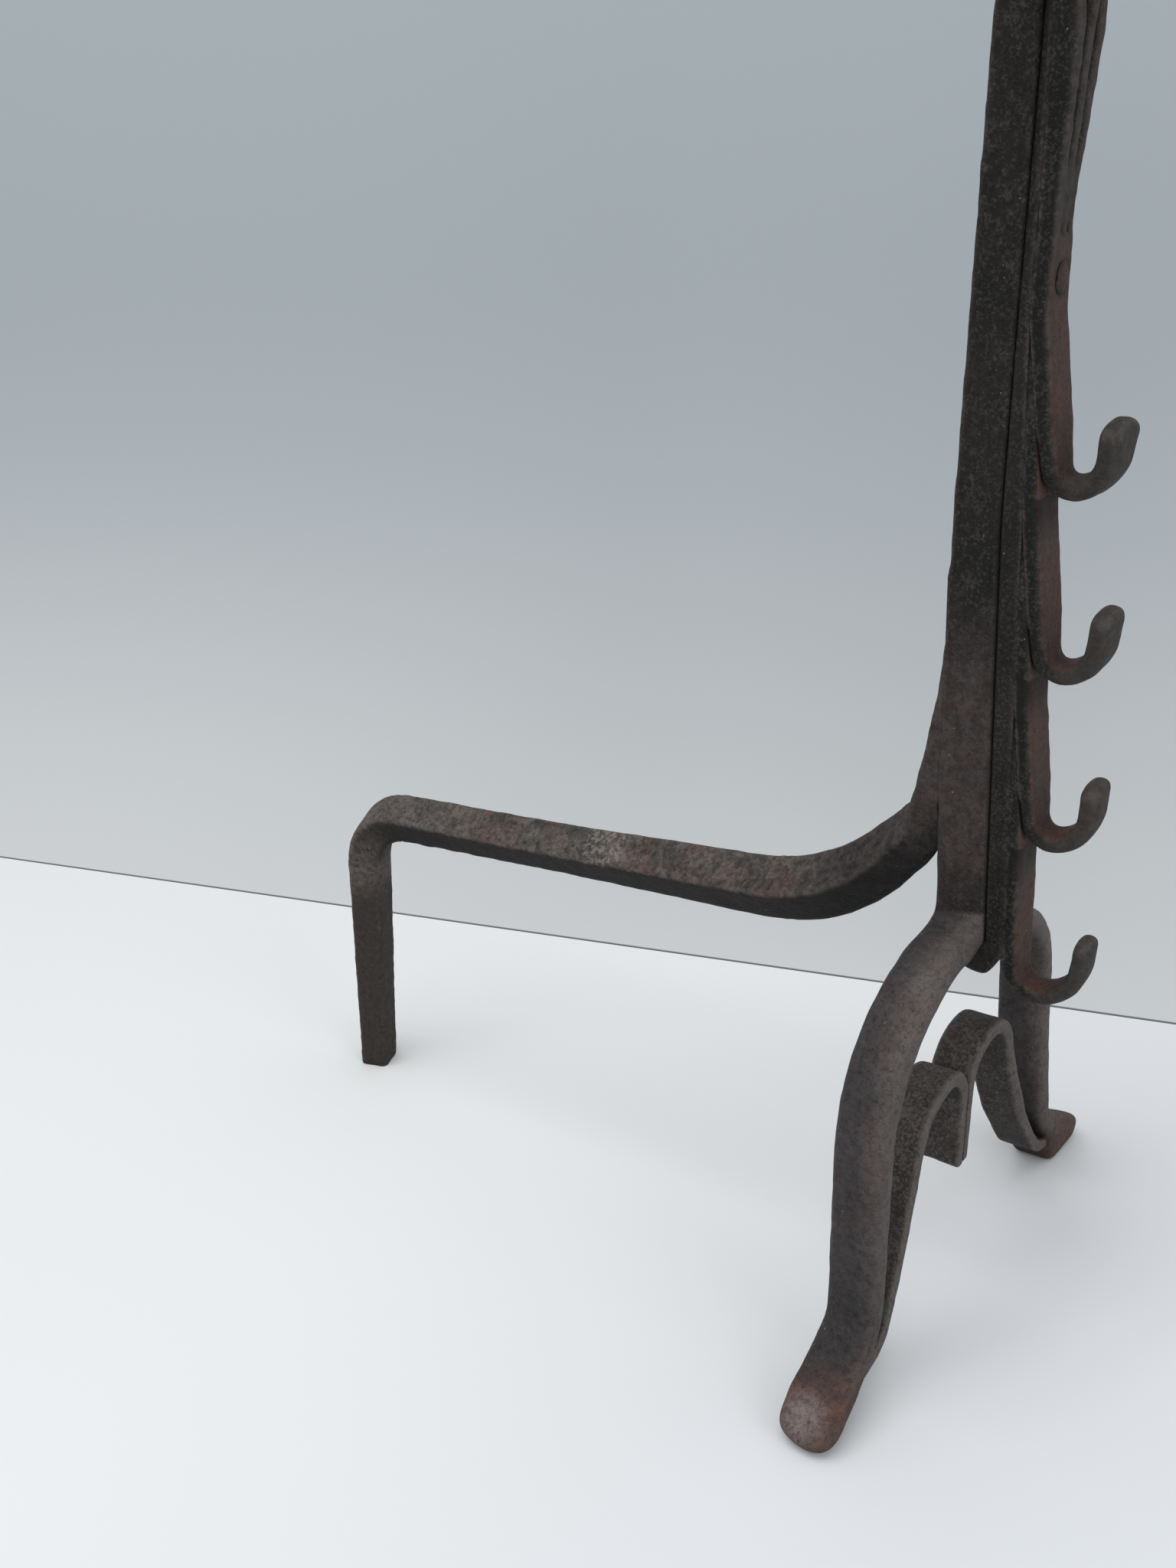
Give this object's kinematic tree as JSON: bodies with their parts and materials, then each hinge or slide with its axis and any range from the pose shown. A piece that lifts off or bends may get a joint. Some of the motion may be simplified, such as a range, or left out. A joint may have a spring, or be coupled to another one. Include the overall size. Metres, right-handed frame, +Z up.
{
  "type": "andiron",
  "caption": "Hand-forged andiron: welded column with stepped spit hooks, arched legs with inner scrolls, an on-edge log bar with its own foot, and a basket of spread prongs.",
  "frame": {"origin": "on the floor, at the middle of the box that holds the whole andiron", "axes": "+Z up along the column, -Y towards the hooks and the room, +Y along the log bar into the hearth, +X to the side"},
  "size_m": [0.3288, 0.5662, 0.8128],
  "materials": {
    "forged_iron": "matte, hammered, dark brown-grey forge scale",
    "worn_iron": "satin, reddish brown where it is handled",
    "burnt_iron": "matte, mottled grey and rust from the fire"
  },
  "bodies": {
    "root": {"log_bar": "burnt_iron", "left_leg_bar": "forged_iron", "right_leg_bar": "forged_iron", "core_bar": "forged_iron", "top_hook_fork": "worn_iron", "second_hook": "worn_iron", "third_hook": "worn_iron", "bottom_hook": "worn_iron", "left_scroll": "forged_iron", "right_scroll": "forged_iron", "column_rivet": "worn_iron", "rim_hoop": "forged_iron", "rim_rivets": "worn_iron", "waist_ring": "forged_iron"}
  },
  "joints": []
}
